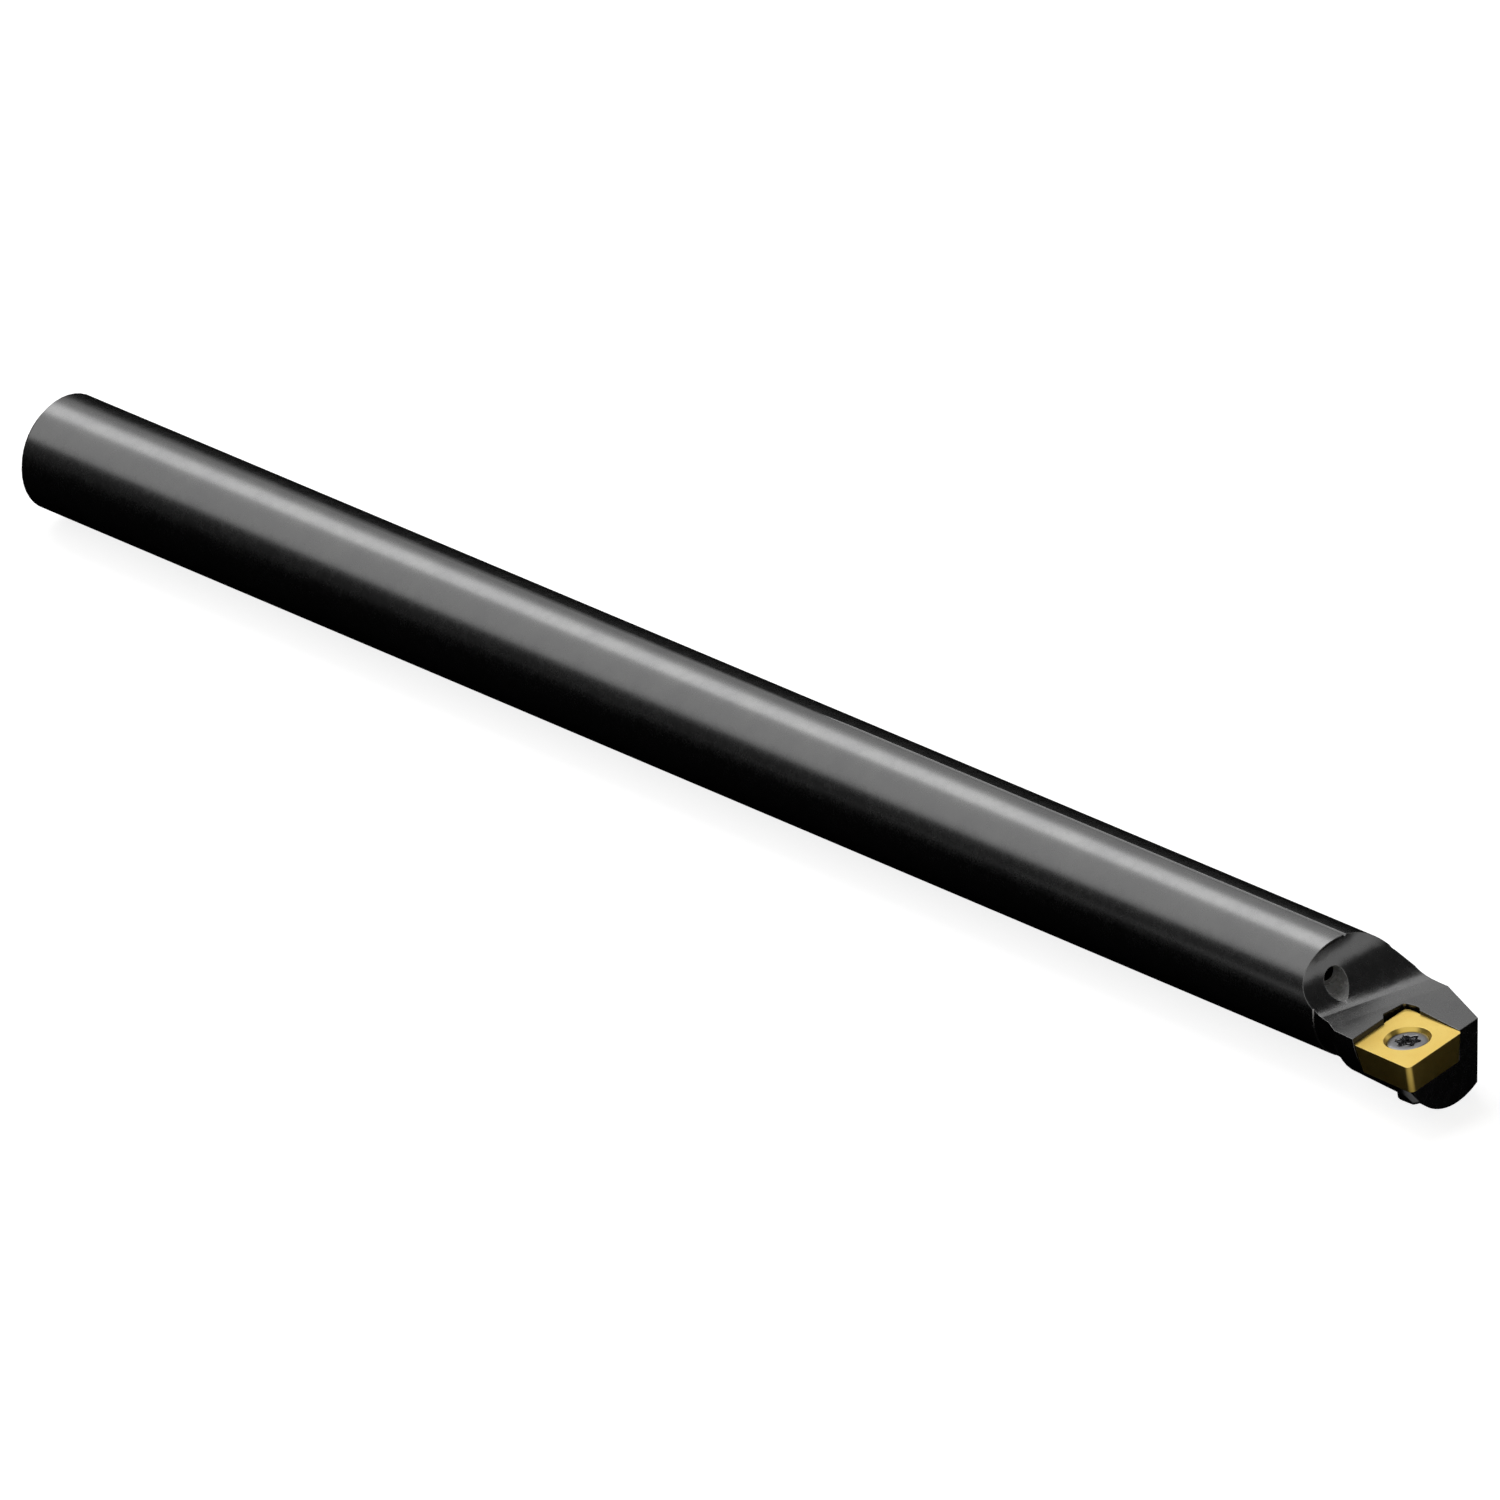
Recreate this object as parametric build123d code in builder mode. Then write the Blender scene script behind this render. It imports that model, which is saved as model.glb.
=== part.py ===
"""Left-hand boring bar: a steel bar with a coolant bore, its carbide insert and the insert's screw.

Millimetres. The origin is the centre of the rear face, on the shank's axis. +X runs along the shank
to the head, +Z is up through the insert's face, and the cutting nose lies on the -Y side.
"""

import os
from math import cos, radians, sin, tan

from build123d import *

os.makedirs("parts", exist_ok=True)

# Overall sizes of the tool
overall_length = 152.4  # rear face to the tip of the nose
shank_diameter = 9.525
nose_offset = 6.35  # shank's axis to the tip of the nose

# Insert: an 80 degree rhomb with clearance on its flanks
inscribed_circle = 6.35
insert_thickness = 2.38
insert_angle = 80.0
flank_angle = 7.0
nose_radius = 0.4
insert_hole_diameter = 2.8
mouth_diameter = 3.7  # top of the countersink
mouth_angle = 60.0

# How the seat holds the insert
approach_yaw = 5.0  # lead of each cutting edge
radial_tilt = 6.7  # the insert's face rises towards the far side
axial_tilt = 3.45  # and towards the front
wall_clearance = 0.02  # insert to the pocket's two walls

# Insert screw
thread_diameter = 2.5
screw_length = 4.5
head_drop = 0.25  # head's top below the insert's face
head_clearance = 0.01  # head's cone to the countersink
thread_clearance = 0.05
socket_diameter = 2.3  # across opposite lobes
socket_waist = 1.66  # across opposite hollows
socket_depth = 0.9
hollow_radius = 0.4
lobe_rounding = 0.12
screw_end_chamfer = 0.3

# Shank
rear_chamfer = 0.5
line_start = 83.8  # setting line along the top of the shank
line_depth = 0.13
line_run_in = 3.5
line_angle = 90.0

# Coolant way
bore_diameter = 3.2
bore_end = 14.4  # end of the straight bore, back from the nose
drill_angle = 118.0
inlet_chamfer = 0.4
outlet_diameter = 1.95
outlet_back = 11.75  # mouth in the gullet, back from the nose
outlet_width = 1.9  # mouth to the shank's axis, on the near side
outlet_height = 1.65  # mouth above the shank's axis
outlet_yaw = 24.0
outlet_drop = 2.0  # degrees down towards the nose
outlet_depth = 4.6  # mouth to where it opens into the bore

# Neck and head, measured back from the nose
neck_back = 11.65
neck_step = 0.08
flare_back = 9.7
flare_growth = 0.32  # near side of the neck's end beyond the neck
body_back = 8.5
body_inset = 0.72  # near side inside the nose circle where the body starts
front_inset = 0.21  # and at the front
body_lift = 0.2  # the body's centre above the shank's axis
front_setback = 0.3  # front face behind the insert's front edge

# Top face and gullet
face_tilt = 6.1  # the face rises towards the far side
face_rise = 0.6  # and a little towards the front
face_step = 0.03  # face above the insert's far front corner
gullet_back = 0.5  # foot of the gullet behind the insert's inner corner
gullet_radius = 3.95
gullet_growth = 0.159  # radius gained per mm towards the far side
gullet_yaw = 15.6
foot_radius = 20.5  # long blend from the top face into the gullet
foot_angle = 4.5

# Far corner of the head
far_corner_angle = 22.5
far_corner_width = 2.25  # shank's axis to the chamfer's front edge
far_flat_width = 4.42  # shank's axis to the flat along the far side

# Pad under the nose
pad_diameter = 2.4
pad_setback = 2.45  # along the insert's diagonal
pad_drop = 1.5  # below the pocket's floor
pad_rounding = 0.35
pad_inset = 0.12  # inside the nose circle

# Relief round the insert's inner corner
relief_back = 0.52  # depth behind the insert, at its near end
relief_corner = 0.2
relief_side = 0.32
relief_back_run = 2.72  # length along the insert's back edge
relief_side_run = 1.6
relief_rounding = 0.3

# Derived places
shank_radius = shank_diameter / 2
neck_radius = shank_radius - neck_step
thread_radius = thread_diameter / 2
bore_radius = bore_diameter / 2
mouth_slope = tan(radians(mouth_angle / 2))
flank_slope = tan(radians(flank_angle))
edge_length = inscribed_circle / sin(radians(insert_angle))

# The rhomb's sharp corner lies just outside the rounded nose.
overrun = nose_radius * (cos(radians(45)) / sin(radians(insert_angle / 2)) - 1)
nose_corner = Vector(overall_length + overrun, -nose_offset - overrun, 0)
insert_face = Plane(nose_corner).rotated((radial_tilt, -axial_tilt, 0))
backward = Vector(-cos(radians(approach_yaw)), sin(radians(approach_yaw)))
sideward = Vector(0, 1).rotate(Axis.Z, 90 - insert_angle - approach_yaw)
rear_corner = backward * edge_length
front_corner = sideward * edge_length
inner_corner = rear_corner + front_corner
inner_point = insert_face.from_local_coords(inner_corner)
front_point = insert_face.from_local_coords(front_corner)
insert_centre = insert_face.from_local_coords(inner_corner / 2)
hole_place = Plane(insert_centre, insert_face.x_dir, insert_face.z_dir)

# Top face, through a point just above the insert's far front corner
face_slope = tan(radians(face_tilt))
rise_slope = tan(radians(face_rise))
margin = shank_diameter  # how far cutting shapes run past the head
past_nose = overall_length + margin

# Neck and head sections: place along X, reach to the near side, reach to the far side, lift
neck_start = overall_length - neck_back
flare_start = overall_length - flare_back
body_start = overall_length - body_back
sections = [
    (neck_start, shank_radius, shank_radius, 0),
    (neck_start + neck_step, neck_radius, neck_radius, 0),
    (flare_start, neck_radius + flare_growth, neck_radius, body_lift),
    (body_start, nose_offset - body_inset, shank_radius, body_lift),
    (overall_length, nose_offset - front_inset, shank_radius, body_lift),
]

# Front face and far corner, in plan
front_normal = Vector(cos(radians(approach_yaw)), sin(radians(approach_yaw)))
front_distance = nose_corner.dot(front_normal) - front_setback
front_slope = tan(radians(approach_yaw))
corner_x = front_distance / front_normal.X - far_corner_width * front_slope
corner_slope = tan(radians(far_corner_angle))
front_plan = [
    (corner_x + (far_corner_width + margin) * front_slope, -margin),
    (corner_x, far_corner_width),
    (corner_x - (far_flat_width - far_corner_width) / corner_slope, far_flat_width),
    (flare_start, far_flat_width),
    (flare_start, margin),
    (past_nose, margin),
    (past_nose, -margin),
]

# Pocket, on a plane above the head's top face and narrowing downwards with the insert's flanks
pocket_lift = face_step + edge_length * sin(radians(axial_tilt)) + shank_radius * face_slope
pocket_top = insert_face.offset(pocket_lift)
wall_gap = (wall_clearance + pocket_lift * flank_slope) / sin(radians(insert_angle))
wall_corner = inner_corner + (backward + sideward) * wall_gap
pocket_outline = [
    wall_corner,
    wall_corner - sideward * (edge_length + margin),
    wall_corner - (sideward + backward) * (edge_length + margin),
    wall_corner - backward * (edge_length + margin),
]
relief_outline = [
    inner_corner - sideward * relief_back_run,
    inner_corner + backward * relief_back - sideward * (relief_back_run - relief_back),
    inner_corner + backward * relief_corner,
    inner_corner - backward * relief_side_run / 2 + sideward * relief_side,
    inner_corner - backward * (relief_side_run - relief_side) + sideward * relief_side,
    inner_corner - backward * relief_side_run,
    inner_corner - backward * relief_side_run - sideward * relief_back_run,
]

# Coolant outlet, from inside the straight bore towards the nose
jet = Vector(1, 0).rotate(Axis.Y, outlet_drop).rotate(Axis.Z, -outlet_yaw)
outlet_mouth = Vector(overall_length - outlet_back, -outlet_width, outlet_height)
outlet_place = Plane(outlet_mouth - jet * outlet_depth, z_dir=jet)

# Setting line's cutting triangle
line_height = 4 * line_depth
line_half_width = line_height * tan(radians(line_angle / 2))

# Screw, its head resting in the insert's countersink
screw_radius = thread_radius - thread_clearance
cone_gap = head_clearance / cos(radians(mouth_angle / 2))
head_radius = mouth_diameter / 2 - head_drop * mouth_slope - cone_gap
screw_end = -head_drop - screw_length
screw_section = Plane(insert_centre, insert_face.x_dir, -insert_face.y_dir)

# Pad that carries the insert under the nose
pocket_floor = insert_face.offset(-insert_thickness)
pad_centre = inner_corner.normalized() * pad_setback
pad_floor = Plane(
    pocket_floor.from_local_coords(pad_centre), insert_face.x_dir, insert_face.z_dir
)

with BuildPart() as pad:
    with BuildSketch(pad_floor):
        Circle(pad_diameter / 2)
    extrude(amount=-pad_drop)
    fillet(pad.edges().sort_by(Axis.Z)[0], pad_rounding)
    with BuildSketch(Plane.YZ.offset(body_start)):
        Circle(nose_offset - pad_inset)
    extrude(amount=past_nose - body_start, mode=Mode.INTERSECT)

with BuildPart() as bar:
    # Shank, then neck and head through the sections
    with BuildSketch(Plane.YZ):
        Circle(shank_radius)
    extrude(amount=neck_start)
    chamfer(bar.edges().sort_by(Axis.X)[0], rear_chamfer)
    for place, near_reach, far_reach, lift in sections:
        with BuildSketch(Plane.YZ.offset(place)):
            with Locations(((far_reach - near_reach) / 2, lift)):
                Circle((near_reach + far_reach) / 2)
    loft(ruled=True)
    add(pad.part)

    # Front face and far corner
    with BuildSketch(Plane.XY):
        Polygon(*front_plan, align=None)
    extrude(amount=margin, both=True, mode=Mode.SUBTRACT)

    # Top face and gullet, one cut whose concave end widens towards the far side
    for across in (-margin, margin):
        foot = inner_point.X - gullet_back + (across - inner_point.Y) * tan(radians(gullet_yaw))
        radius = gullet_radius + gullet_growth * across
        nose_level = front_point.Z + face_step + face_slope * (across - front_point.Y)
        level = nose_level - rise_slope * (front_point.X - foot)
        with BuildSketch(Plane.XZ.offset(-across)):
            with BuildLine():
                flat = Line((past_nose, level + rise_slope * (past_nose - foot)), (foot, level))
                blend = JernArc(flat @ 1, flat % 1, foot_radius, -foot_angle)
                curve = JernArc(blend @ 1, blend % 1, radius, foot_angle - face_rise - 90)
                Polyline(curve @ 1, ((curve @ 1).X, margin), (past_nose, margin), flat @ 0)
            make_face()
    loft(ruled=True, mode=Mode.SUBTRACT)

    # Pocket, with a relief round the insert's inner corner
    pocket_depth = insert_thickness + pocket_lift
    with BuildSketch(pocket_top):
        Polygon(*pocket_outline, align=None)
    extrude(amount=-pocket_depth, taper=flank_angle, mode=Mode.SUBTRACT)
    with BuildSketch(pocket_top) as relief:
        Polygon(*relief_outline, align=None)
        fillet(relief.vertices().sort_by_distance(inner_corner)[:4], relief_rounding)
    extrude(amount=-pocket_depth, mode=Mode.SUBTRACT)

    # Threaded hole, right through to the underside
    with BuildSketch(hole_place):
        Circle(thread_radius)
    extrude(amount=-margin, mode=Mode.SUBTRACT)

    # Straight coolant bore with its drilled point, and the outlet towards the nose
    with BuildSketch(Plane.XY):
        Polygon(
            (0, 0),
            (0, bore_radius + inlet_chamfer),
            (inlet_chamfer, bore_radius),
            (overall_length - bore_end, bore_radius),
            (overall_length - bore_end + bore_radius / tan(radians(drill_angle / 2)), 0),
            align=None,
        )
    revolve(axis=Axis.X, mode=Mode.SUBTRACT)
    with BuildSketch(outlet_place):
        Circle(outlet_diameter / 2)
    extrude(amount=outlet_depth + gullet_radius, mode=Mode.SUBTRACT)

    # Setting line, a vee that starts as a point
    for place, depth in (
        (line_start - line_run_in, -line_depth),
        (line_start + line_run_in, line_depth),
        (neck_start, line_depth),
    ):
        with BuildSketch(Plane.YZ.offset(place)):
            Polygon(
                (0, shank_radius - depth),
                (line_half_width, shank_radius - depth + line_height),
                (-line_half_width, shank_radius - depth + line_height),
                align=None,
            )
    loft(ruled=True, mode=Mode.SUBTRACT)

with BuildPart() as insert:
    with BuildSketch(insert_face):
        Polygon((0, 0), rear_corner, inner_corner, front_corner, align=None)
    extrude(amount=-insert_thickness, taper=flank_angle)
    upright = insert.edges().filter_by(lambda edge: abs((edge % 0).dot(insert_face.z_dir)) > 0.5)
    fillet(upright, nose_radius)
    with Locations(hole_place):
        CounterSinkHole(
            insert_hole_diameter / 2,
            mouth_diameter / 2,
            counter_sink_angle=mouth_angle,
        )

with BuildPart() as insert_screw:
    with BuildSketch(screw_section):
        Polygon(
            (0, -head_drop),
            (head_radius, -head_drop),
            (screw_radius, -head_drop - (head_radius - screw_radius) / mouth_slope),
            (screw_radius, screw_end + screw_end_chamfer),
            (screw_radius - screw_end_chamfer, screw_end),
            (0, screw_end),
            align=None,
        )
    revolve(axis=Axis(insert_centre, insert_face.z_dir))
    with BuildSketch(hole_place.offset(-head_drop)) as socket:
        Circle(socket_diameter / 2)
        with PolarLocations(socket_waist / 2 + hollow_radius, 6):
            Circle(hollow_radius, mode=Mode.SUBTRACT)
        fillet(socket.vertices(), lobe_rounding)
    extrude(amount=-socket_depth, mode=Mode.SUBTRACT)

bar.part.label = "bar"
insert.part.label = "insert"
insert_screw.part.label = "insert_screw"
export_step(bar.part, "parts/bar.step")
export_step(insert.part, "parts/insert.step")
export_step(insert_screw.part, "parts/insert_screw.step")
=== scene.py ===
import bpy
import bmesh
from math import cos, pi, radians, sin, tan
from mathutils import Matrix, Vector


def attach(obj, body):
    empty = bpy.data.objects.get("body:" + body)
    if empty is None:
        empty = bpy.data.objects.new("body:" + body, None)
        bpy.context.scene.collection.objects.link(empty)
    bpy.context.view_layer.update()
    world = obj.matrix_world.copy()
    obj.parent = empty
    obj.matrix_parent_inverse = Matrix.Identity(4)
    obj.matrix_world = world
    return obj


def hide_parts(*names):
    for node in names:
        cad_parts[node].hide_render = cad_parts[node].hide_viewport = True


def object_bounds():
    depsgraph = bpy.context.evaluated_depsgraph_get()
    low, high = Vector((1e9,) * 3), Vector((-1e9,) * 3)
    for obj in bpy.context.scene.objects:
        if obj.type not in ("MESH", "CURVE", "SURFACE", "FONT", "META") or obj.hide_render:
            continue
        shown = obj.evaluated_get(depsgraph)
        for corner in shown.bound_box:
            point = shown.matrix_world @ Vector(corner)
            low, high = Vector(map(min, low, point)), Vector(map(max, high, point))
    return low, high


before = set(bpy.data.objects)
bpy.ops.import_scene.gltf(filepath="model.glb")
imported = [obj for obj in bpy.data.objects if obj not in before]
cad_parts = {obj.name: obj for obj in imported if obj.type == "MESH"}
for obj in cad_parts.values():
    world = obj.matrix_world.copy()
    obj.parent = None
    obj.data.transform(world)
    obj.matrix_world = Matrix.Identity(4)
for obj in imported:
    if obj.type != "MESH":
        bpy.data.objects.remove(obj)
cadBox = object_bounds()
print("frame loaded:", sorted(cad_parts))

mm = 0.001  # the sizes below are in millimetres


def newMaterial(name):
    material = bpy.data.materials.new(name)
    material.use_nodes = True
    nodes = material.node_tree.nodes
    nodes.clear()
    output = nodes.new("ShaderNodeOutputMaterial")
    shader = nodes.new("ShaderNodeBsdfPrincipled")
    material.node_tree.links.new(shader.outputs[0], output.inputs["Surface"])
    return material, shader


def addNode(tree, kind, inputs=None, **settings):
    node = tree.nodes.new(kind)
    for key, value in settings.items():
        setattr(node, key, value)
    for key, value in (inputs or {}).items():
        if isinstance(value, bpy.types.NodeSocket):
            tree.links.new(value, node.inputs[key])
        else:
            node.inputs[key].default_value = value
    return node


def objectPlace(tree, turn=(0, 0, 0), stretch=(1, 1, 1)):
    place = addNode(tree, "ShaderNodeTexCoord").outputs["Object"]
    mapping = {"Vector": place, "Rotation": turn, "Scale": [s / mm for s in stretch]}
    return addNode(tree, "ShaderNodeMapping", mapping).outputs["Vector"]


def noise(tree, place, scale, detail=2.0, roughness=0.5):
    inputs = {"Vector": place, "Scale": scale, "Detail": detail, "Roughness": roughness}
    return addNode(tree, "ShaderNodeTexNoise", inputs).outputs["Fac"]


def spread(tree, value, low, high, fromLow=0.3, fromHigh=0.7):
    inputs = {
        "Value": value, "From Min": fromLow, "From Max": fromHigh,
        "To Min": low, "To Max": high}
    return addNode(tree, "ShaderNodeMapRange", inputs).outputs["Result"]


def mathNode(tree, operation, first, second=0):
    return addNode(tree, "ShaderNodeMath", {0: first, 1: second}, operation=operation).outputs[0]


def blendColour(tree, factor, low, high):
    node = addNode(tree, "ShaderNodeMix", {0: factor}, data_type="RGBA")
    for socket, colour in ((node.inputs[6], low), (node.inputs[7], high)):
        if isinstance(colour, bpy.types.NodeSocket):
            tree.links.new(colour, socket)
        else:
            socket.default_value = (*colour, 1)
    return node.outputs[2]


def vectorNode(tree, operation, first, second=(0, 0, 0)):
    return addNode(tree, "ShaderNodeVectorMath", {0: first, 1: second}, operation=operation).outputs


edges = {
    "samples": 6,  # for each rounded edge
    "sharp": 0.82,  # how far the rounded and flat normals agree on a fully worn edge
    "flat": 0.995,  # and on a face without wear
}


def roundedEdges(tree, radius):
    inputs = {"Radius": radius * mm}
    return addNode(tree, "ShaderNodeBevel", inputs, samples=edges["samples"]).outputs["Normal"]


def bump(tree, height, normal, depth):
    inputs = {"Height": height, "Normal": normal, "Distance": depth * mm, "Strength": 1.0}
    return addNode(tree, "ShaderNodeBump", inputs).outputs["Normal"]


def edgeWear(tree, radius, breakup):
    # 0 on flat faces, rising to 1 on edges
    flat = addNode(tree, "ShaderNodeNewGeometry").outputs["Normal"]
    agree = vectorNode(tree, "DOT_PRODUCT", roundedEdges(tree, radius), flat)["Value"]
    turned = spread(tree, agree, 1.0, 0.0, edges["sharp"], edges["flat"])
    return mathNode(tree, "MULTIPLY", turned, breakup)


# Blackened steel of the bar: turned round the shank, with the oxide worn thin along its edges
barFinish = {
    "colour": (0.128, 0.128, 0.129),
    "paleColour": (0.144, 0.144, 0.143),
    # worn edges and the painted highlight at the neck's step share this colour
    "wornAndStepSheenColour": (0.42, 0.41, 0.40),
    "metal": 1.0,
    "edgeShine": 0.22,  # how much of a mirror the steel is at a glancing angle
    "roughness": (0.24, 0.29),
    "mottleSize": 3.5,
    "fineScale": 1.4,  # shinier spots in each millimetre
    "patchScale": 2.2,  # patches of worn edge in each millimetre
    "patchRange": (0.35, 0.7),
    "wornMost": 0.22,
    "turningPitch": 0.22,
    "turningDepth": 0.0008,
    "grainSize": 0.09,
    "grainDepth": 0.0005,
    "edgeRadius": 0.07,
    "edgeBandWidth": 0.10,
    "stepPlace": 140.79,  # the neck's small step, with a painted highlight along it
    "stepWidth": 0.05,
    "neckReach": 4.64,
    "outletPaintedLightColour": (0.78, 0.78, 0.77),  # painted light inside the coolant outlet: a pale wall stands in for its reflection
    "outletPaintedLightMetal": 0.35,
    "outletMouth": (140.65, -1.9, 1.65),
    "outletYaw": 24.0,
    "outletDrop": 2.0,
    "outletRadius": 0.9789,  # a trace past the wall
    "outletDepth": 4.8,
}


def makeOutletMask(tree, place):
    # 1 on the outlet's wall and 0 elsewhere
    yaw, drop = radians(barFinish["outletYaw"]), radians(barFinish["outletDrop"])
    jet = (cos(drop) * cos(yaw), -cos(drop) * sin(yaw), -sin(drop))
    fromMouth = vectorNode(tree, "SUBTRACT", place, barFinish["outletMouth"])[0]
    square = vectorNode(tree, "CROSS_PRODUCT", fromMouth, jet)[0]
    reach = vectorNode(tree, "LENGTH", square)["Value"]
    inside = mathNode(tree, "LESS_THAN", reach, barFinish["outletRadius"])
    depth = vectorNode(tree, "DOT_PRODUCT", fromMouth, jet)["Value"]
    beyond = mathNode(tree, "GREATER_THAN", depth, -barFinish["outletDepth"])
    return mathNode(tree, "MULTIPLY", inside, beyond)


def makeBarSteel():
    material, shader = newMaterial("blackenedSteel")
    tree = material.node_tree
    place = objectPlace(tree)
    mottle = noise(tree, place, 1 / barFinish["mottleSize"], 4.0, 0.6)
    mottle = spread(tree, mottle, 0, 1)
    base = blendColour(tree, mottle, barFinish["colour"], barFinish["paleColour"])
    patches = noise(tree, place, barFinish["patchScale"], 3.0, 0.6)
    breakup = spread(tree, patches, 0.0, barFinish["wornMost"], *barFinish["patchRange"])
    wearAndSheen = edgeWear(tree, barFinish["edgeBandWidth"], breakup)
    along = addNode(tree, "ShaderNodeSeparateXYZ", {0: place}).outputs["X"]
    offStep = mathNode(tree, "ABSOLUTE", mathNode(tree, "SUBTRACT", along, barFinish["stepPlace"]))
    across = vectorNode(tree, "MULTIPLY", place, (0, 1, 1))[0]
    offAxis = vectorNode(tree, "LENGTH", across)["Value"]
    # Painted highlight: a thin band round the neck's small step takes the worn colour
    nearStep = mathNode(tree, "LESS_THAN", offStep, barFinish["stepWidth"])
    onNeck = mathNode(tree, "GREATER_THAN", offAxis, barFinish["neckReach"])
    wearAndSheen = mathNode(tree, "MAXIMUM", wearAndSheen, mathNode(tree, "MULTIPLY", nearStep, onNeck))
    colour = blendColour(tree, wearAndSheen, base, barFinish["wornAndStepSheenColour"])
    # Painted light: the outlet's wall is pale and less metallic, standing in for the light it
    # reflects
    inOutlet = makeOutletMask(tree, place)
    colour = blendColour(tree, inOutlet, colour, barFinish["outletPaintedLightColour"])
    tree.links.new(colour, shader.inputs["Base Color"])
    metal = spread(tree, inOutlet, barFinish["metal"], barFinish["outletPaintedLightMetal"], 0, 1)
    tree.links.new(metal, shader.inputs["Metallic"])
    shader.inputs["Specular Tint"].default_value = (*[barFinish["edgeShine"]] * 3, 1)
    fine = noise(tree, place, barFinish["fineScale"], 3.0, 0.6)
    tree.links.new(spread(tree, fine, *barFinish["roughness"]), shader.inputs["Roughness"])

    # The turning marks run round the shank, so they only change along its length.
    turning = {"W": along, "Scale": 1 / barFinish["turningPitch"], "Detail": 2.0}
    rings = addNode(tree, "ShaderNodeTexNoise", turning, noise_dimensions="1D").outputs["Fac"]
    grain = noise(tree, place, 1 / barFinish["grainSize"], 2.0)
    edge = roundedEdges(tree, barFinish["edgeRadius"])
    marks = bump(tree, rings, edge, barFinish["turningDepth"])
    surface = bump(tree, grain, marks, barFinish["grainDepth"])
    tree.links.new(surface, shader.inputs["Normal"])
    return material


# Gold-coloured coating of the insert, with a fine pressed grain and a lighter edge: worn coating
# and a painted highlight along the honed edge
insertFinish = {
    "colour": (0.70, 0.51, 0.125),
    "warmColour": (0.67, 0.46, 0.095),
    "edgeWearAndSheenColour": (0.86, 0.70, 0.30),
    "metal": 0.97,
    "roughness": (0.27, 0.34),
    "cloudSize": 1.8,
    "patchScale": 3.0,
    "wearAndSheenShare": (0.3, 0.9),  # least and most wear and painted highlight along the edges
    "grainSize": 0.05,
    "grainDepth": 0.0006,
    "edgeRadius": 0.05,
    "edgeBandWidth": 0.07,
}


def makeInsertGold():
    material, shader = newMaterial("goldCoating")
    tree = material.node_tree
    place = objectPlace(tree)
    clouds = noise(tree, place, 1 / insertFinish["cloudSize"], 3.0, 0.55)
    clouds = spread(tree, clouds, 0, 1)
    base = blendColour(tree, clouds, insertFinish["colour"], insertFinish["warmColour"])
    patches = noise(tree, place, insertFinish["patchScale"], 2.0)
    breakup = spread(tree, patches, *insertFinish["wearAndSheenShare"])
    wearAndSheen = edgeWear(tree, insertFinish["edgeBandWidth"], breakup)
    # The edges are lighter: partly worn coating, partly a painted highlight
    colour = blendColour(tree, wearAndSheen, base, insertFinish["edgeWearAndSheenColour"])
    tree.links.new(colour, shader.inputs["Base Color"])
    shader.inputs["Metallic"].default_value = insertFinish["metal"]
    grain = noise(tree, place, 1 / insertFinish["grainSize"], 3.0, 0.6)
    tree.links.new(spread(tree, grain, *insertFinish["roughness"]), shader.inputs["Roughness"])
    edge = roundedEdges(tree, insertFinish["edgeRadius"])
    surface = bump(tree, grain, edge, insertFinish["grainDepth"])
    tree.links.new(surface, shader.inputs["Normal"])
    return material


# Bright steel of the screw, with a painted reflection on its socket's walls and painted shade on
# the socket's floor
screwFinish = {
    "colour": (0.155, 0.155, 0.16),
    "darkColour": (0.12, 0.12, 0.125),
    "socketSheenColour": (0.62, 0.62, 0.63),  # painted reflection on the socket's walls
    "socketFloorShade": (0.03, 0.03, 0.03),  # painted shade at the bottom of the socket
    "socketRoughShare": 0.45,  # of the roughness left on the socket's walls
    "metal": 1.0,
    "roughness": (0.26, 0.36),
    "spotSize": 0.5,
    "grainSize": 0.06,
    "grainDepth": 0.0012,
    "edgeRadius": 0.05,
}


def makeScrewSteel():
    material, shader = newMaterial("screwSteel")
    tree = material.node_tree
    place = objectPlace(tree)
    spots = noise(tree, place, 1 / screwFinish["spotSize"], 3.0, 0.6)
    spots = spread(tree, spots, 0, 1)
    outside = blendColour(tree, spots, screwFinish["darkColour"], screwFinish["colour"])
    # Painted reflection: the socket's walls are pale steel, standing in for the light they reflect
    socketSheen = addNode(tree, "ShaderNodeAttribute", attribute_name="socketSheen").outputs["Fac"]
    colour = blendColour(tree, socketSheen, outside, screwFinish["socketSheenColour"])
    # Painted shade: the socket's floor is made nearly black
    floorShade = addNode(tree, "ShaderNodeAttribute", attribute_name="floorShade").outputs["Fac"]
    colour = blendColour(tree, floorShade, colour, screwFinish["socketFloorShade"])
    tree.links.new(colour, shader.inputs["Base Color"])
    shader.inputs["Metallic"].default_value = screwFinish["metal"]
    grain = noise(tree, place, 1 / screwFinish["grainSize"], 2.0)
    smoother = spread(tree, socketSheen, 1, screwFinish["socketRoughShare"], 0, 1)
    rough = mathNode(tree, "MULTIPLY", spread(tree, grain, *screwFinish["roughness"]), smoother)
    tree.links.new(rough, shader.inputs["Roughness"])
    edge = roundedEdges(tree, screwFinish["edgeRadius"])
    surface = bump(tree, grain, edge, screwFinish["grainDepth"])
    tree.links.new(surface, shader.inputs["Normal"])
    return material


finishes = {"bar": makeBarSteel(), "insert": makeInsertGold(), "insert_screw": makeScrewSteel()}
for name, material in finishes.items():
    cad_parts[name].material_slots[0].material = material
print("finishes made:", sorted(finishes))


# Where the insert sits: its sharp corner by the nose, its tilts and its rhomb, as in the part
seat = {
    "noseTip": (152.4, -6.35, 0),
    "noseRadius": 0.4,
    "inscribedCircle": 6.35,
    "insertAngle": 80.0,
    "approachYaw": 5.0,
    "radialTilt": 6.7,
    "axialTilt": 3.45,
}


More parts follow.
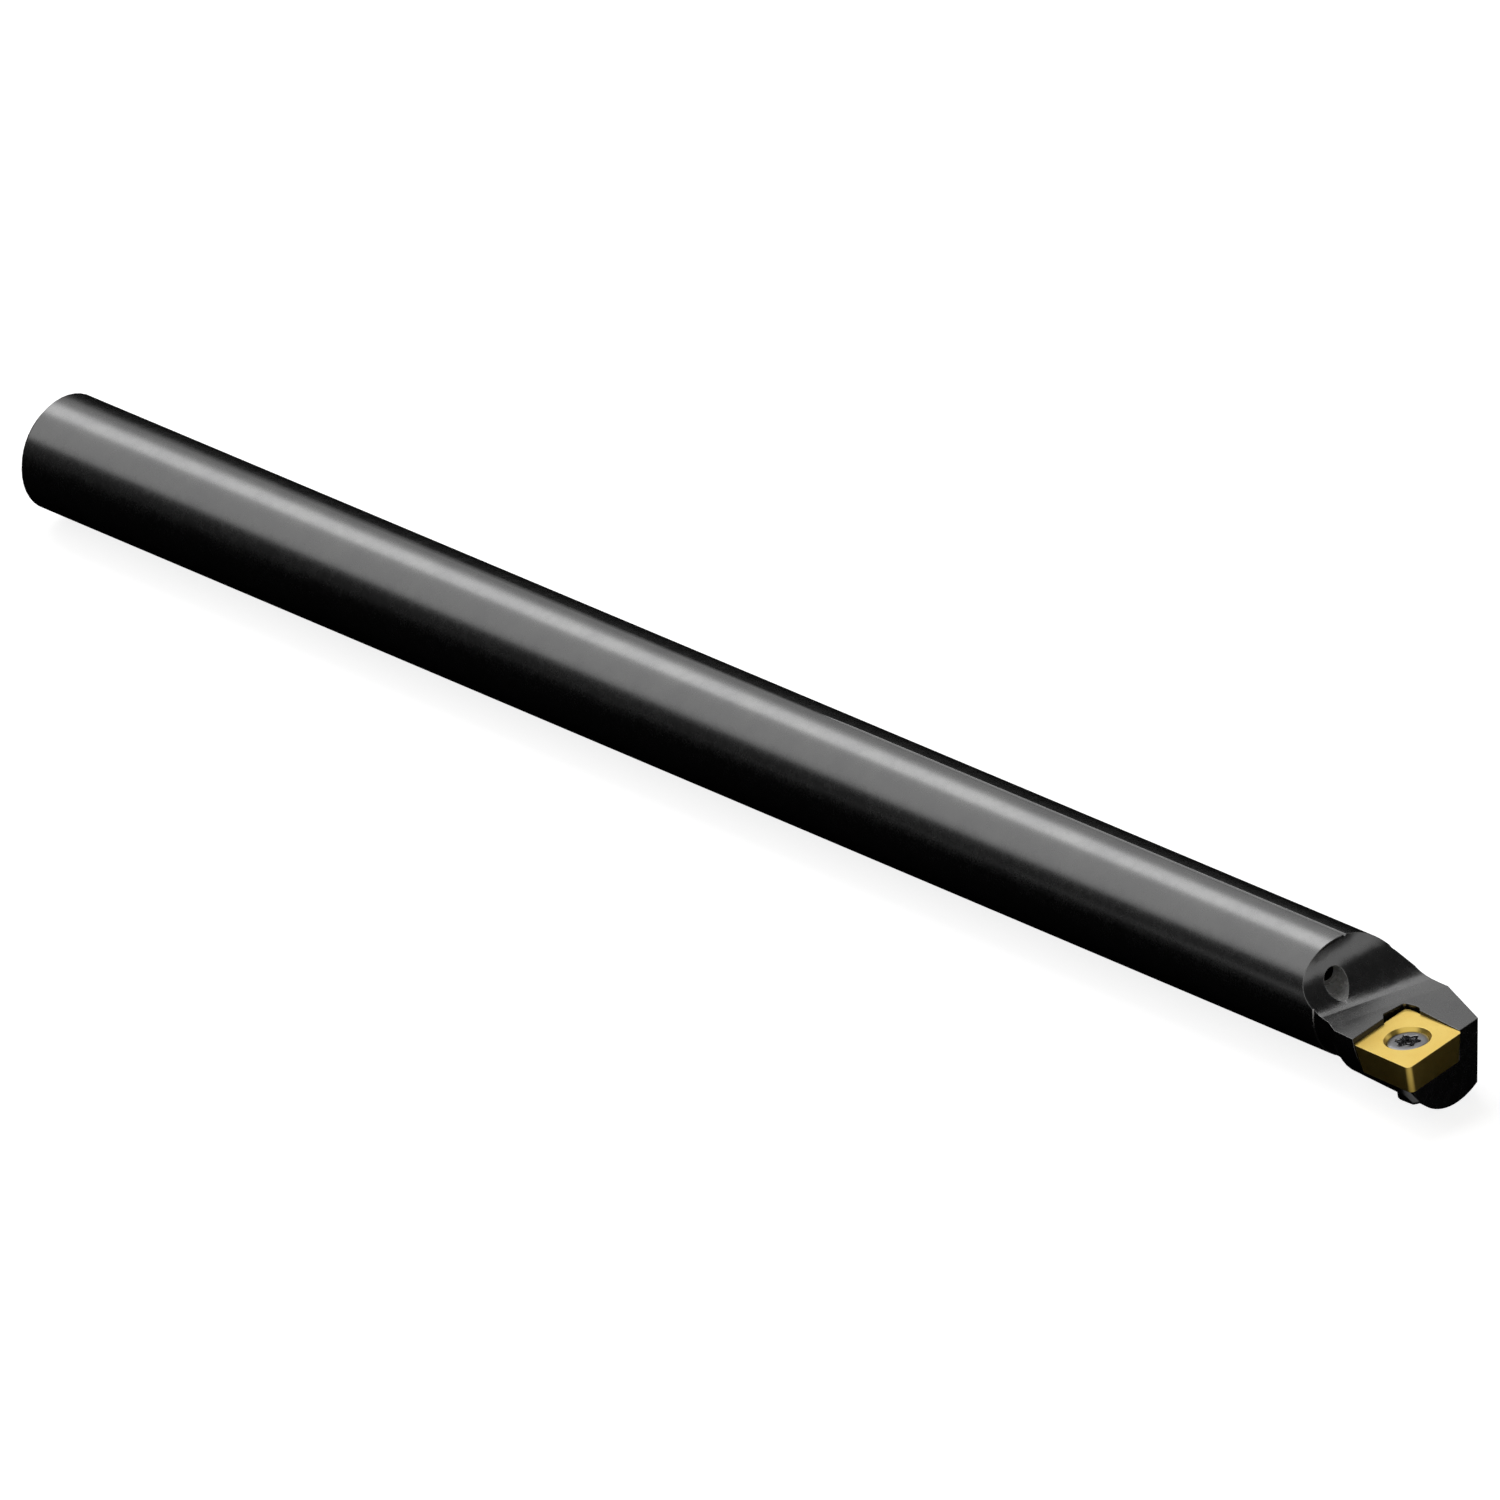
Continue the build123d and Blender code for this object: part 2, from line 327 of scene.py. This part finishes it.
def insertFrame():
    # The middle of the insert's face, with Z square to the face
    halfAngle = radians(seat["insertAngle"] / 2)
    overrun = seat["noseRadius"] * (cos(pi / 4) / sin(halfAngle) - 1)
    corner = Vector(seat["noseTip"]) + Vector((overrun, -overrun, 0))
    turn = Matrix.Rotation(radians(seat["radialTilt"]), 4, "X") @ Matrix.Rotation(
        radians(-seat["axialTilt"]), 4, "Y")
    edge = seat["inscribedCircle"] / sin(2 * halfAngle)
    yaw = radians(seat["approachYaw"])
    backward, sideward = Vector((-cos(yaw), sin(yaw), 0)), Vector((-sin(yaw), cos(yaw), 0))
    middle = corner + turn.to_3x3() @ ((backward + sideward) * edge / 2)
    return Matrix.Translation(middle * mm) @ turn @ Matrix.Scale(mm, 4)


# Insert screw: a stack of rings from the bottom of the socket out over the head and down to the tip
screw = {
    "points": 144,  # round each ring
    "socketAcross": 2.05,
    "socketWaist": 1.50,
    "socketDepth": 0.95,
    "socketPoint": 0.18,  # drilled point below the socket's floor
    "socketBreak": 0.05,
    "floorFillet": 0.04,
    "domeSteps": 10,
    "floorShares": (0.05, 0.5, 0.9),  # radii of the rings in the socket's floor
    "floorRings": 3,
    "socketRings": 5,  # rings up to the top of the socket's wall
    "headTop": -0.20,  # below the insert's face
    "flatAcross": 2.30,
    "headAcross": 3.24,
    "headEdge": -0.36,
    "coneAngle": 60.0,
    "neckAcross": 2.0,
    "tip": -4.75,
    "tipChamfer": 0.28,
    "tipHole": 0.03,  # radius of the last ring, closed by a face
    "neckTaper": 0.1,
    "smoothAngle": 32.0,
    "coreAcross": 1.86,
    "threadAcross": 2.40,
    "threadStart": -1.55,
    "pitch": 0.45,
    "crest": 0.05,
    "threadPoints": 40,  # in each turn
    "threadSpare": 0.7,  # turns left off for the thread's two ends
    "threadSunk": 0.04,  # its root below the core's surface
    "rootShare": 0.92,  # of the pitch
    "lobes": 6,
}


def makeThreadTree(material):
    tree = bpy.data.node_groups.new("screwThread", "GeometryNodeTree")
    tree.interface.new_socket("Geometry", in_out="OUTPUT", socket_type="NodeSocketGeometry")
    run = screw["threadStart"] - screw["tip"] - screw["tipChamfer"]
    sizes = {
        "Turns": run / screw["pitch"] - screw["threadSpare"],
        "Pitch Radius": (screw["coreAcross"] + screw["threadAcross"]) / 4,
        "Length": run - screw["threadSpare"] * screw["pitch"],
        "Depth": (screw["threadAcross"] - screw["coreAcross"]) / 2 + screw["threadSunk"],
        "Root": screw["pitch"] * screw["rootShare"],
        "Crest": screw["crest"],
    }
    for name, size in sizes.items():
        socket = tree.interface.new_socket(name, in_out="INPUT", socket_type="NodeSocketFloat")
        socket.default_value = size
    given = addNode(tree, "NodeGroupInput").outputs
    helix = addNode(tree, "GeometryNodeCurveSpiral", {
        "Resolution": screw["threadPoints"], "Rotations": given["Turns"],
        "Start Radius": given["Pitch Radius"], "End Radius": given["Pitch Radius"],
        "Height": given["Length"], "Reverse": True})
    upright = addNode(tree, "GeometryNodeSetCurveNormal", {0: helix.outputs[0]}, mode="Z_UP")
    ridge = addNode(tree, "GeometryNodeCurvePrimitiveQuadrilateral", {
        "Height": given["Depth"], "Bottom Width": given["Root"],
        "Top Width": given["Crest"], "Offset": 0}, mode="TRAPEZOID")
    turned = addNode(tree, "GeometryNodeTransform", {
        0: ridge.outputs[0], "Rotation": (0, 0, -pi / 2)})
    swept = addNode(tree, "GeometryNodeCurveToMesh", {
        "Curve": upright.outputs[0], "Profile Curve": turned.outputs[0], "Fill Caps": True})
    real = addNode(tree, "GeometryNodeRealizeInstances", {0: swept.outputs[0]})
    finished = addNode(tree, "GeometryNodeSetMaterial", {
        0: real.outputs[0], "Material": material})
    output = addNode(tree, "NodeGroupOutput")
    tree.links.new(finished.outputs[0], output.inputs[0])
    return tree, sizes


def bakedThread(material):
    mesh = bpy.data.meshes.new("threadStart")
    holder = bpy.data.objects.new("threadStart", mesh)
    bpy.context.scene.collection.objects.link(holder)
    tree, sizes = makeThreadTree(material)
    modifier = holder.modifiers.new("thread", "NODES")
    modifier.node_group = tree
    for item in tree.interface.items_tree:
        if item.in_out == "INPUT":
            modifier[item.identifier] = sizes[item.name]
    bpy.context.view_layer.update()
    shown = holder.evaluated_get(bpy.context.evaluated_depsgraph_get())
    baked = bpy.data.meshes.new_from_object(shown)
    holder.modifiers.remove(modifier)
    bpy.data.objects.remove(holder)
    base = screw["tip"] + screw["tipChamfer"] + screw["threadSpare"] / 2 * screw["pitch"]
    baked.transform(Matrix.Translation((0, 0, base)))
    return baked


def screwRings():
    # Each ring is its radius, how far the lobes swell it, and its height
    middle = (screw["socketAcross"] + screw["socketWaist"]) / 4
    swell = (screw["socketAcross"] - screw["socketWaist"]) / 4
    top, ease = screw["headTop"], screw["socketBreak"]
    floor = top - screw["socketDepth"]
    rings = [(middle * share, swell * share, floor - screw["socketPoint"] * (1 - share))
             for share in screw["floorShares"]]
    rings += [(middle, swell, floor + screw["floorFillet"]), (middle, swell, top - ease),
              (middle + ease, swell, top)]
    flat, head = screw["flatAcross"] / 2, screw["headAcross"] / 2
    for step in range(screw["domeSteps"] + 1):
        turn = pi / 2 * step / screw["domeSteps"]
        rings.append((flat + (head - flat) * sin(turn), 0,
                      top + (screw["headEdge"] - top) * (1 - cos(turn))))
    neck, core, tip = screw["neckAcross"] / 2, screw["coreAcross"] / 2, screw["tip"]
    coneEnd = screw["headEdge"] - (head - neck) / tan(radians(screw["coneAngle"] / 2))
    chamfer = screw["tipChamfer"] / 2
    rings += [(neck, 0, coneEnd), (neck, 0, screw["threadStart"] + screw["neckTaper"]),
              (core, 0, screw["threadStart"]), (core, 0, tip + chamfer),
              (core - chamfer, 0, tip), (screw["tipHole"], 0, tip)]
    return rings


def makeScrew():
    material = finishes["insert_screw"]
    mesh = bpy.data.meshes.new("threadedScrew")
    build = bmesh.new()
    count = screw["points"]
    rows = []
    for radius, swell, height in screwRings():
        row = []
        for index in range(count):
            turn = 2 * pi * index / count
            reach = radius - swell * cos(screw["lobes"] * turn)
            row.append(build.verts.new((reach * cos(turn), reach * sin(turn), height)))
        rows.append(row)
    for inner, outer in zip(rows, rows[1:]):
        for index in range(count):
            after = (index + 1) % count
            build.faces.new((inner[index], outer[index], outer[after], inner[after]))
    build.faces.new(rows[0])
    build.faces.new(rows[-1])
    build.from_mesh(bakedThread(material))
    build.transform(insertFrame())
    bmesh.ops.recalc_face_normals(build, faces=build.faces[:])
    for face in build.faces:
        face.smooth = True
    build.to_mesh(mesh)
    build.free()
    socketSheen = mesh.attributes.new("socketSheen", "FLOAT", "POINT")
    floorShade = mesh.attributes.new("floorShade", "FLOAT", "POINT")
    # The socket's floor rings get the painted shade, the rest of its rings the painted reflection
    for index in range(screw["socketRings"] * count):
        marked = floorShade if index < screw["floorRings"] * count else socketSheen
        marked.data[index].value = 1.0
    mesh.set_sharp_from_angle(angle=radians(screw["smoothAngle"]))
    mesh.materials.clear()
    mesh.materials.append(material)
    piece = bpy.data.objects.new("threadedScrew", mesh)
    bpy.context.scene.collection.objects.link(piece)
    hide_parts("insert_screw")
    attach(piece, "root")
    return piece


makeScrew()
print("screw made")


# Camera, at the same place as the tool is seen from, far off so that lines stay nearly parallel
camera = {
    "azimuth": 44.8546,
    "elevation": 25.1112,
    "distance": 2932.25,
    "across": 53.865,  # aim to the right of the rear face's centre
    "above": -23.488,
    "focalPixels": 37518.4,
    "framePixels": 1500,
    "sensor": 36.0,
    "clipEnd": 20,
}


def makeCamera():
    azimuth, elevation = radians(camera["azimuth"]), radians(camera["elevation"])
    right = Vector((cos(azimuth), sin(azimuth), 0))
    back = Vector((sin(azimuth) * cos(elevation), -cos(azimuth) * cos(elevation), sin(elevation)))
    up = back.cross(right)
    eye = back * camera["distance"] + right * camera["across"] + up * camera["above"]
    data = bpy.data.cameras.new("camera")
    data.sensor_width = camera["sensor"]
    data.lens = camera["sensor"] * camera["focalPixels"] / camera["framePixels"]
    data.clip_end = camera["clipEnd"]
    holder = bpy.data.objects.new("camera", data)
    holder.matrix_world = Matrix((
        (right.x, up.x, back.x, eye.x * mm),
        (right.y, up.y, back.y, eye.y * mm),
        (right.z, up.z, back.z, eye.z * mm),
        (0, 0, 0, 1)))
    bpy.context.scene.collection.objects.link(holder)
    bpy.context.scene.camera = holder


makeCamera()
print("camera placed")


# Studio, in metres round the middle of the tool
studio = {
    "middle": (0.076, 0, 0),
    "lamps": (  # name, place, facing straight down, size along X, size across, strength
        ("overhead", (-1.17, -0.11, 0.90), True, 1.76, 2.9, 1.0),
        ("strip", (-1.17, 0.235, 0.95), True, 1.76, 0.50, 2.1),
        ("front", (1.25, 0.26, 0.20), False, 0.55, 0.9, 0.6),
    ),
    "surround": 0.04,  # the world's level for light and for reflections
    "floorSize": 3.0,
    "floorColour": 0.5,
    "floorGlow": 0.86,  # part of the floor's white that no shadow takes away
    "surroundInMetal": 0.008,  # the dark part of the room that the metal shows
    "sidesInMetal": 1.0,  # the white room to both sides of it
    "sidesFrom": (-0.42, -0.08),  # they begin this far round towards the shank's rear
    "sidesAcross": (0.30, 0.30, 0.55),  # dark middle, and where the sides rise from it
    "floorInMetal": (0.006, 0.85),  # the floor's glow that the metal shows: painted shadow by the tool, painted light ahead of it
    "floorAhead": (157.5, 168),  # from one to the other, in millimetres along X less Y
}


def makeLamps():
    middle = Vector(studio["middle"])
    for name, place, flat, length, width, strength in studio["lamps"]:
        data = bpy.data.lights.new(name, "AREA")
        data.shape = "RECTANGLE"
        data.size, data.size_y = length, width
        data.energy = 4 * strength * length * width
        lamp = bpy.data.objects.new(name, data)
        lamp.location = middle + Vector(place)
        away = Vector((0, 0, 1)) if flat else Vector(place).normalized()
        along = Vector((0, 1, 0)).cross(away).normalized()
        across = away.cross(along)
        facing = Matrix((along, across, away)).transposed().to_4x4()
        lamp.matrix_world = Matrix.Translation(lamp.location) @ facing
        bpy.context.scene.collection.objects.link(lamp)


def makeWorld():
    world = bpy.data.worlds.new("studio")
    bpy.context.scene.world = world
    world.use_nodes = True
    tree = world.node_tree
    tree.nodes.clear()
    rays = addNode(tree, "ShaderNodeLightPath").outputs
    level = studio["surround"]
    soft = addNode(tree, "ShaderNodeBackground", {"Color": (level, level, level, 1)})
    white = addNode(tree, "ShaderNodeBackground", {"Color": (1, 1, 1, 1)})
    place = addNode(tree, "ShaderNodeTexCoord").outputs["Generated"]
    toward = addNode(tree, "ShaderNodeSeparateXYZ", {0: place}).outputs
    middle, rise, full = studio["sidesAcross"]
    aside = mathNode(tree, "ABSOLUTE", mathNode(tree, "SUBTRACT", toward["Y"], middle))
    beside = spread(tree, aside, 0, studio["sidesInMetal"], rise, full)
    ahead = spread(tree, toward["X"], 0, 1, *studio["sidesFrom"])
    sides = mathNode(tree, "MULTIPLY", beside, ahead)
    sides = mathNode(tree, "ADD", sides, studio["surroundInMetal"])
    inMetal = mathNode(tree, "MULTIPLY", rays["Is Glossy Ray"], sides)
    through = mathNode(tree, "ADD", rays["Is Camera Ray"], rays["Is Transmission Ray"])
    seen = mathNode(tree, "ADD", through, inMetal)
    mix = addNode(tree, "ShaderNodeMixShader", {0: seen, 1: soft.outputs[0], 2: white.outputs[0]})
    output = addNode(tree, "ShaderNodeOutputWorld")
    tree.links.new(mix.outputs[0], output.inputs["Surface"])


def makeFloor():
    half = studio["floorSize"] / 2
    mesh = bpy.data.meshes.new("floor")
    corners = [(-half, -half, 0), (half, -half, 0), (half, half, 0), (-half, half, 0)]
    mesh.from_pydata([(x, y, cadBox[0].z) for x, y, z in corners], [], [(0, 1, 2, 3)])
    floor = bpy.data.objects.new("floor", mesh)
    bpy.context.scene.collection.objects.link(floor)
    material = bpy.data.materials.new("paleFloor")
    material.use_nodes = True
    tree = material.node_tree
    tree.nodes.clear()
    rays = addNode(tree, "ShaderNodeLightPath").outputs
    paint = studio["floorColour"]
    matt = addNode(tree, "ShaderNodeBsdfDiffuse", {"Color": (paint, paint, paint, 1)})
    through = mathNode(tree, "ADD", rays["Is Camera Ray"], rays["Is Transmission Ray"])
    seen = mathNode(tree, "MULTIPLY", through, studio["floorGlow"])
    glow = addNode(tree, "ShaderNodeEmission", {"Strength": seen})
    lit = addNode(tree, "ShaderNodeAddShader", {0: matt.outputs[0], 1: glow.outputs[0]})
    # For reflections only, the floor glows: dark by the tool as a painted shadow, bright ahead of
    # it as painted light
    spot = addNode(tree, "ShaderNodeSeparateXYZ", {0: objectPlace(tree)}).outputs
    ahead = mathNode(tree, "SUBTRACT", spot["X"], spot["Y"])
    shown = spread(tree, ahead, *studio["floorInMetal"], *studio["floorAhead"])
    inMetal = addNode(tree, "ShaderNodeEmission", {"Strength": shown})
    mix = addNode(tree, "ShaderNodeMixShader", {
        0: rays["Is Glossy Ray"], 1: lit.outputs[0], 2: inMetal.outputs[0]})
    output = addNode(tree, "ShaderNodeOutputMaterial")
    tree.links.new(mix.outputs[0], output.inputs["Surface"])
    mesh.materials.append(material)


makeLamps()
makeWorld()
makeFloor()
bpy.context.scene.view_settings.view_transform = "Standard"
print("studio lit")
